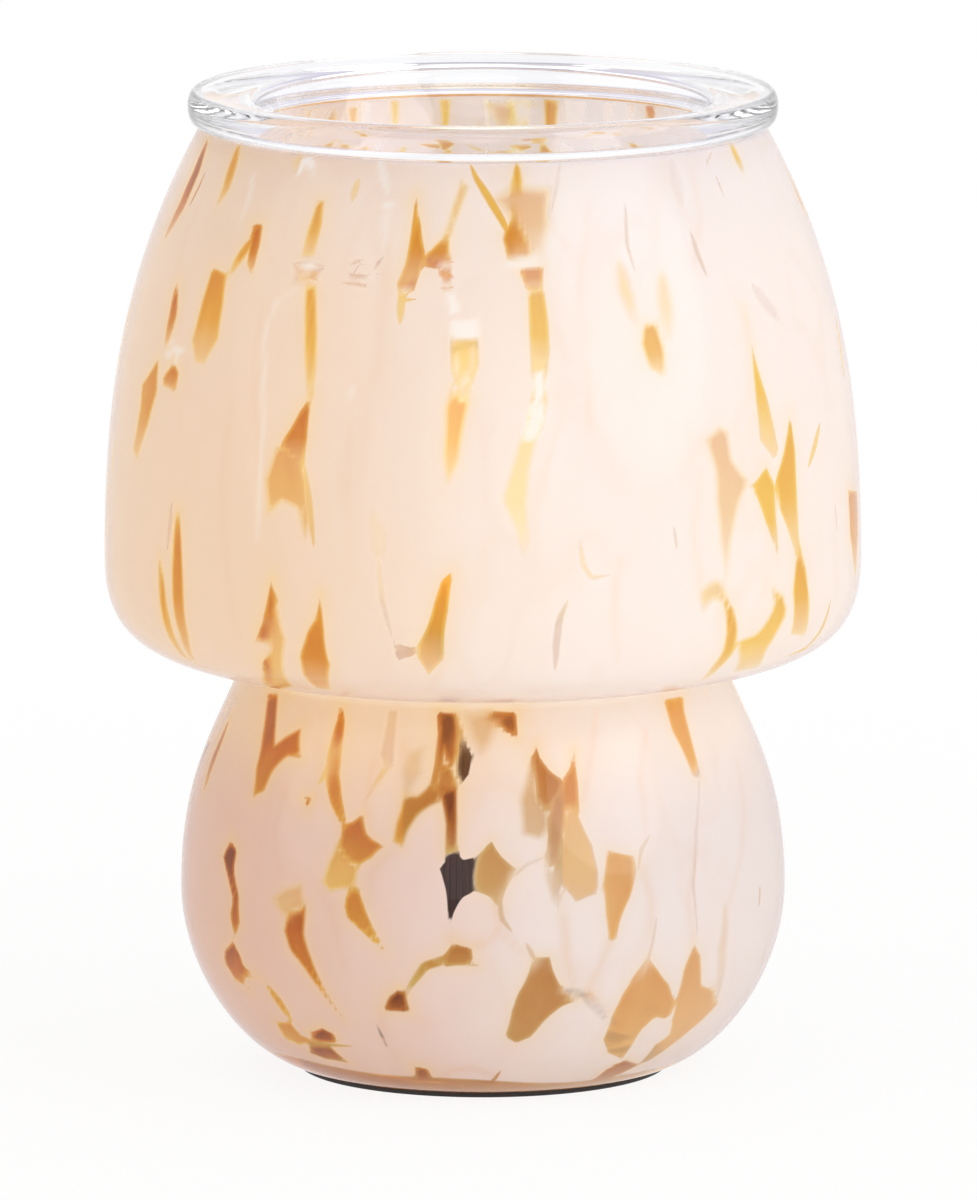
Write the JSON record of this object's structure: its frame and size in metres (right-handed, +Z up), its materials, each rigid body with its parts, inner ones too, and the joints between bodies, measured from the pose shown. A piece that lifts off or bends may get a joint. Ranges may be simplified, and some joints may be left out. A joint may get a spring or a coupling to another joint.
{
  "type": "candle warmer",
  "caption": "Electric wax warmer: a mushroom-shaped blown glass body with a lamp inside, and a loose clear glass dish on its open top.",
  "frame": {"origin": "centre of the foot pad's underside, on the table", "axes": "+Z up along the glass's axis, -Y to the front, +Y to the cord outlet at the rear"},
  "size_m": [0.1232, 0.1232, 0.1612],
  "materials": {
    "opal_glass": "blown glass with cream opal and amber chips under a clear glossy skin",
    "dish_glass": "clear pressed glass",
    "lamp_glass": "clear thin glass",
    "black_rubber": "matte",
    "black_plastic": "satin moulded",
    "porcelain": "glazed",
    "zinc": "zinc plated",
    "brass": "rolled",
    "nickel": "nickel plated",
    "lead_sleeve": "soft sleeve",
    "filament_glow": "tungsten wire, lit"
  },
  "bodies": {
    "base": {"foot_pad": "black_rubber", "glass_body": "opal_glass", "lock_nut_lower": "zinc", "base_plate": "zinc", "base_gasket": "black_rubber", "floor_gasket": "black_rubber", "column_foot": "black_plastic", "lock_nut_upper": "zinc", "threaded_pipe": "zinc", "socket_column": "black_plastic", "socket_cap": "zinc", "socket_body": "porcelain", "screw_shell": "brass", "centre_contact": "brass", "terminal_screw_live": "brass", "terminal_screw_neutral": "brass", "live_lead": "lead_sleeve", "neutral_lead": "lead_sleeve", "cord_grommet": "black_rubber"},
    "dish": {"wax_dish": "dish_glass"},
    "lamp_seat": {"lamp_tip_contact": "nickel"},
    "lamp": {"lamp_envelope": "lamp_glass", "lamp_screw_cap": "nickel", "lamp_insulator": "black_plastic", "lamp_stem": "lamp_glass", "lead_in_wire_left": "nickel", "lead_in_wire_right": "nickel", "filament": "filament_glow", "support_wires_upper": "nickel", "support_wires_lower": "nickel"}
  },
  "joints": [
    {"name": "dish_lift", "type": "slide", "parent": "base", "child": "dish", "axis": [0, 0, 1], "range_m": [0, 0.06]},
    {"name": "bulb_rise", "type": "slide", "parent": "base", "child": "lamp_seat", "axis": [0, 0, 1], "range_m": [0, 0.0102]},
    {"name": "bulb_turn", "type": "hinge", "parent": "lamp_seat", "child": "lamp", "pos_m": [0, 0, 0.06], "axis": [0, 0, 1], "range_deg": [0, 1440]}
  ],
  "couplings": [
    {"joint": "bulb_rise", "follows": "bulb_turn", "m_per_rad": 0.00040425}
  ]
}
